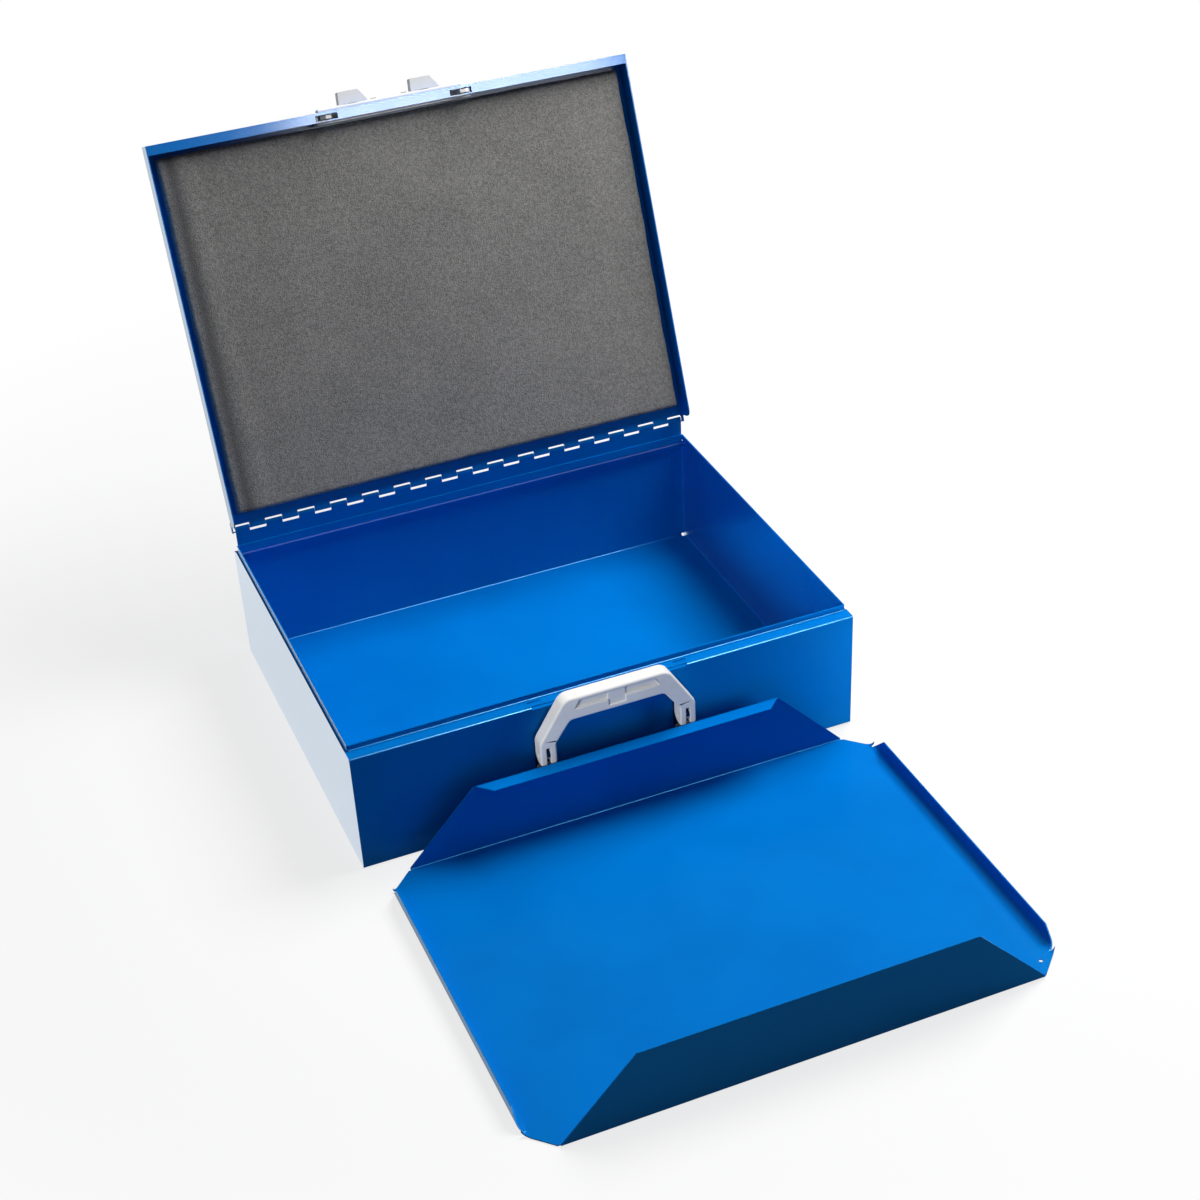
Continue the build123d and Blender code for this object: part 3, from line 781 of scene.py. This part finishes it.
@dataclass
class FoamLinedLid:
    """Lid shell with its soft foam pad."""

    finish: LidPowderCoat = field(default_factory=LidPowderCoat)
    foam: OpenCellFoam = field(default_factory=OpenCellFoam)
    plane: LidPlane = field(default_factory=LidPlane)
    edge: float = 0.25 * MM
    half_width: float = 213.0 * MM
    front: float = -325.4 * MM
    rear: float = -13.4 * MM
    top: float = -1.5 * MM
    thickness: float = 11.8 * MM
    slack: float = 0.2 * MM
    roll: float = 3.4 * MM
    roll_steps: int = 6
    count_x: int = 150
    count_y: int = 108
    edge_inset: float = 0.5 * MM
    edge_band: float = 1 / 6
    side_waves: tuple[Wave, ...] = (
        Wave(0.2475 * MM, 10.5 * MM),
        Wave(0.1575 * MM, 4.3 * MM, 1.3),
        Wave(0.225 * MM, 36.0 * MM),
    )
    end_waves: tuple[Wave, ...] = (
        Wave(0.16 * MM, 11.8 * MM, 0.6),
        Wave(0.12 * MM, 5.1 * MM),
        Wave(0.2 * MM, 43.0 * MM, 2.0),
    )
    swells: tuple[tuple[Wave, Wave], ...] = (
        (Wave(0.25 * MM, 31.0 * MM, 1.0), Wave(1.0, 27.0 * MM)),
        (Wave(0.25 * MM, 13.0 * MM), Wave(1.0, 17.0 * MM, 1.0)),
    )
    bulge_from_edge: float = 22.0 * MM
    bulge_width: float = 9.0 * MM
    bulge_height: float = 0.9 * MM
    bulge_wave: Wave = Wave(1.5 * MM, 50.0 * MM)

    def across(self, half: float, count: int) -> tuple[np.ndarray, np.ndarray]:
        """Places and fullness along one direction of the pad.

        From each edge the side rises straight to the roll, then a quarter circle leads onto the
        face.

        Args:
            half: Half the pad's size in that direction.
            count: Points on the flat face.

        Returns:
            The places, and the share of the thickness at each.
        """
        side = 1 - self.roll / self.thickness
        a = np.linspace(0, np.pi / 2, self.roll_steps)
        inset = np.concatenate([[0, 0], self.roll * (1 - np.cos(a[1:]))])
        full = np.concatenate([[0, side], side + (1 - side) * np.sin(a[1:])])
        flat = np.linspace(-half + self.roll, half - self.roll, count)[1:-1]
        places = np.concatenate([-half + inset, flat, (half - inset)[::-1]])
        return places, np.concatenate([full, np.ones(len(flat)), full[::-1]])

    def wandered(
        self, places: np.ndarray, half: float, along: np.ndarray, waves: tuple[Wave, ...]
    ) -> np.ndarray:
        """Pulls places in near the pad's edges, where the cut wanders.

        The pull is the inset plus the sum of the waves along the edge. It grows from 0 to its full
        size over the outer band of each half.

        Args:
            places: Places across the pad.
            half: Half the pad's size in that direction.
            along: Places along the edges.
            waves: The waves of these edges.

        Returns:
            The new places across the pad.
        """
        near = np.clip((np.abs(places) / half - 1) / self.edge_band + 1, 0, 1)
        pull = self.edge_inset + sum(wave.at(along) for wave in waves)
        return places - np.sign(places) * near * pull

    def pad_points(self) -> tuple[np.ndarray, int, int]:
        """Points of the pad's face and sides.

        Depth is the thickness, less the hollow round a bell-shaped bulge, a slow swell and a
        little slack, times the product of both fullnesses. The hollow is h (1 - exp(-(d / w)^2))
        at a distance d from the bulge's ridge, for its height h and width w. The swell is the sum
        of products of a wave along X and one along Y. The bulge runs beside the darker strip on
        the left, whose colour is painted shade.

        Returns:
            The points row by row, and the grid's two sizes.
        """
        mid_y, half_y = (self.front + self.rear) / 2, (self.rear - self.front) / 2
        xs, full_x = self.across(self.half_width, self.count_x)
        ys, full_y = self.across(half_y, self.count_y)
        x, y = np.meshgrid(xs, ys, indexing="ij")
        from_bulge = x + self.half_width - self.bulge_from_edge - self.bulge_wave.at(y)
        hollow = self.bulge_height * (1 - np.exp(-((from_bulge / self.bulge_width) ** 2)))
        swell = np.abs(sum(in_x.at(x) * in_y.at(y) for in_x, in_y in self.swells))
        depth = (self.thickness - hollow - swell - self.slack) * full_x[:, None] * full_y[None, :]
        wandered_x = self.wandered(x, self.half_width, y, self.side_waves)
        wandered_y = self.wandered(y, half_y, x, self.end_waves)
        points = np.stack([wandered_x, wandered_y + mid_y, self.top - depth], -1)
        return self.plane.carry(points.reshape(-1, 3)), len(xs), len(ys)

    def build(self) -> None:
        """Dresses the shell and makes the pad that stands for the plain foam solid."""
        dress(["lid_shell"], self.finish.material(), self.edge)
        points, rows, columns = self.pad_points()
        index = np.arange(rows * columns).reshape(rows, columns)
        rim = np.concatenate([index[:, 0], index[-1, 1:], index[-2::-1, -1], index[0, -2:0:-1]])
        faces = grid_faces(rows, columns).tolist() + [rim.tolist()]
        pad = make_piece("foam_pad", points, faces, self.foam.material())
        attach(pad, "lid")
        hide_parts("lid_foam")


@dataclass
class SlideLatches:
    """Latch plate, cover, thumb slides and rivets."""

    finish: MouldedPlastic = field(
        default_factory=lambda: MouldedPlastic("latch plastic", (0.84, 0.83, 0.81))
    )
    steel: BareSteel = field(default_factory=lambda: BareSteel("latch rivets", grain=Grain.EVEN))
    plate_edge: float = 0.3 * MM
    slider_edge: float = 0.5 * MM
    rivet_edge: float = 0.35 * MM

    def build(self) -> None:
        """Dresses the plastic parts and the rivets."""
        plastic = self.finish.material()
        dress(["latch_bezel", "latch_cover"], plastic, self.plate_edge)
        dress(["latch_slider_left", "latch_slider_right"], plastic, self.slider_edge)
        dress(["latch_rivets"], self.steel.material(), self.rivet_edge)


@dataclass
class SwingHandle:
    """Moulded handle, its brackets and pins."""

    finish: MouldedPlastic = field(default_factory=MouldedPlastic)
    # Very dark navy paint, partly painted shade for the shadow behind the handle's legs.
    paint: PowderCoat = field(
        default_factory=lambda: PowderCoat(
            "dark bracket and painted shade", (0.010, 0.030, 0.105), (0.008, 0.024, 0.09)
        )
    )
    # Dark steel, partly painted shade, so that the pins sit dark at the handle's legs.
    steel: BareSteel = field(
        default_factory=lambda: BareSteel("handle pins darkened into shade", (0.22, 0.22, 0.23), roughness=0.5)
    )
    edge: float = 0.6 * MM
    bracket_edge: float = 0.3 * MM
    pin_edge: float = 0.2 * MM

    def build(self) -> None:
        """Dresses the handle, its brackets and pins."""
        brackets = ["handle_bracket_left", "handle_bracket_right"]
        dress(["handle"], self.finish.material(), self.edge)
        dress(brackets, self.paint.material(), self.bracket_edge)
        dress(["handle_pins"], self.steel.material(), self.pin_edge)


@dataclass
class InsertTray:
    """The loose tray in front of the case."""

    finish: PowderCoat = field(
        default_factory=lambda: PowderCoat(
            "tray powder coat",
            sheen_full=0.86,
            gloss_least=0.03,
            gloss_most=0.40,
            gloss_facing=(0.10, 0.45, 0.80),
            gloss_edge=(0.45, 0.76, 1.0),
        )
    )
    edge: float = 0.25 * MM

    def build(self) -> None:
        """Dresses the tray."""
        dress(["insert_tray"], self.finish.material(), self.edge)


# Studio


class Reach(Enum):
    """What a light works on, as diffuse and mirrored visibility."""

    SURFACES = (True, False)
    REFLECTIONS = (False, True)


@dataclass(frozen=True)
class SoftLight:
    """A rectangular studio light, for all nodes or for those that it names."""

    name: str
    place: Place
    aim: Place
    size: Pair
    power: float
    reach: Reach
    lit_nodes: tuple[str, ...] = ()

    def build(self) -> None:
        """Makes the light, turns it to its aim and keeps it to its nodes, where it names some.

        A light for reflections alone counts only where the camera meets the paint.
        """
        data = bpy.data.lights.new(self.name, "AREA")
        data.shape = "RECTANGLE"
        data.size, data.size_y = self.size
        data.energy = self.power
        if self.reach is Reach.REFLECTIONS:
            data.cycles.max_bounces = 0
        towards = Vector(self.aim) - Vector(self.place)
        light = bpy.data.objects.new(self.name, data)
        light.location = self.place
        light.rotation_euler = towards.to_track_quat("-Z", "Y").to_euler()
        light.visible_camera = False
        light.visible_diffuse, light.visible_glossy = self.reach.value
        bpy.context.scene.collection.objects.link(light)
        if self.lit_nodes:
            lit = bpy.data.collections.new(self.name + " reach")
            for name in self.lit_nodes:
                lit.objects.link(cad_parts[name])
            light.light_linking.receiver_collection = lit


KEY_SOFTBOX = SoftLight(
    name="key softbox",
    place=(0.78, 0.10, 1.38),
    aim=(0.0, -0.10, 0.0),
    size=(0.9, 0.9),
    power=32.0,
    reach=Reach.SURFACES,
)
LID_STRIP = SoftLight(
    name="lid strip",
    place=(0.63, -1.49, 1.18),
    aim=(0.03, 0.29, 0.44),
    size=(0.58, 0.2),
    power=70.0,
    reach=Reach.REFLECTIONS,
    lit_nodes=("lid_shell",),
)
EDGE_STRIP = SoftLight(
    name="edge strip",
    place=(0.57, -1.49, 1.18),
    aim=(0.03, 0.0, 0.1),
    size=(0.7, 0.2),
    power=450.0,
    reach=Reach.REFLECTIONS,
    lit_nodes=("case_shell",),
)
TRAY_STRIP = replace(EDGE_STRIP, name="tray strip", power=80.0, lit_nodes=("insert_tray",))
HANDLE_FILL = SoftLight(
    name="handle fill",
    place=(-0.70, -0.70, 0.58),
    aim=(0.0, -0.18, 0.09),
    size=(0.3, 0.3),
    power=7.3,
    reach=Reach.SURFACES,
    lit_nodes=("handle",),
)
RIGHT_FILL = SoftLight(
    name="right fill",
    place=(0.34, -0.31, 0.09),
    aim=(0.21, -0.17, 0.06),
    size=(0.1, 0.1),
    power=0.36,
    reach=Reach.SURFACES,
    lit_nodes=("case_shell",),
)


@dataclass
class Studio:
    """White ground, soft lights and the camera, whose image sizes are in pixels."""

    paper: StudioPaper = field(default_factory=StudioPaper)
    ground_half: float = 6.0
    ground_z: float = -0.3 * MM
    white: Colour = (1.0, 1.0, 1.0)
    ambient: Colour = (0.95, 0.97, 1.0)
    ambient_strength: float = 0.12
    azimuth: float = -20.98
    elevation: float = 34.78
    roll: float = 3.19
    distance: float = 1.8326
    aim: Place = (0.0196, -0.0880, 0.1)
    image: float = 1200.0
    focal: float = 2189.45
    centre: Pair = (593.6, 637.8)
    sensor: float = 36.0
    clip: Pair = (0.05, 50.0)
    lights: tuple[SoftLight, ...] = (
        KEY_SOFTBOX,
        LID_STRIP,
        EDGE_STRIP,
        TRAY_STRIP,
        HANDLE_FILL,
        RIGHT_FILL,
    )

    def build(self) -> None:
        """Makes ground, world, lights and camera."""
        self.lay_ground()
        self.light_world()
        for light in self.lights:
            light.build()
        self.set_camera()
        bpy.context.scene.view_settings.view_transform = "Standard"

    def lay_ground(self) -> None:
        """Lays a square of paper just under the object, so that their faces never coincide."""
        half, z = self.ground_half, self.ground_z
        corners = np.array([(-half, -half, z), (half, -half, z), (half, half, z), (-half, half, z)])
        ground = make_piece("ground", corners, [[0, 1, 2, 3]], self.paper.material())

    def light_world(self) -> None:
        """Makes the world white where it is seen or mirrored, and a weak even light elsewhere."""
        world = bpy.data.worlds.new("studio")
        bpy.context.scene.world = world
        graph = Graph(world)
        weak = {"Color": self.ambient, "Strength": self.ambient_strength}
        white = {"Color": self.white, "Strength": 1.0}
        ends = [graph.shader("Background", inputs) for inputs in (weak, white)]
        graph.output(graph.layer(graph.shown(), *ends))

    def set_camera(self) -> None:
        """Places the camera on a sphere round its aim, rolls it and shifts its frame.

        The back direction is (sin a cos e, -cos a cos e, sin e) for azimuth a and elevation e.
        """
        a, e, r = (math.radians(v) for v in (self.azimuth, self.elevation, self.roll))
        back = np.array([math.sin(a) * math.cos(e), -math.cos(a) * math.cos(e), math.sin(e)])
        level = np.cross(-back, [0.0, 0.0, 1.0])
        level /= np.linalg.norm(level)
        down = np.cross(-back, level)
        right = math.cos(r) * level + math.sin(r) * down
        lower = math.cos(r) * down - math.sin(r) * level
        data = bpy.data.cameras.new("camera")
        data.sensor_width = self.sensor
        data.lens = self.focal / self.image * self.sensor
        data.shift_x = (self.image / 2 - self.centre[0]) / self.image
        data.shift_y = (self.centre[1] - self.image / 2) / self.image
        data.clip_start, data.clip_end = self.clip
        camera = bpy.data.objects.new("camera", data)
        turn = Matrix(np.stack([right, -lower, back], -1).tolist()).to_4x4()
        turn.translation = Vector(self.aim) + Vector(back.tolist()) * self.distance
        camera.matrix_world = turn
        bpy.context.scene.collection.objects.link(camera)
        bpy.context.scene.camera = camera


def main() -> None:
    """Builds and dresses every sub-assembly."""
    logging.basicConfig(level=logging.INFO, format="%(name)s %(message)s")
    parts = (
        CaseBody(),
        PianoHinge(),
        FoamLinedLid(),
        SlideLatches(),
        SwingHandle(),
        InsertTray(),
        Studio(),
    )
    for part in parts:
        part.build()
        LOG.info("%s built", type(part).__name__)


if __name__ == "__main__":
    main()
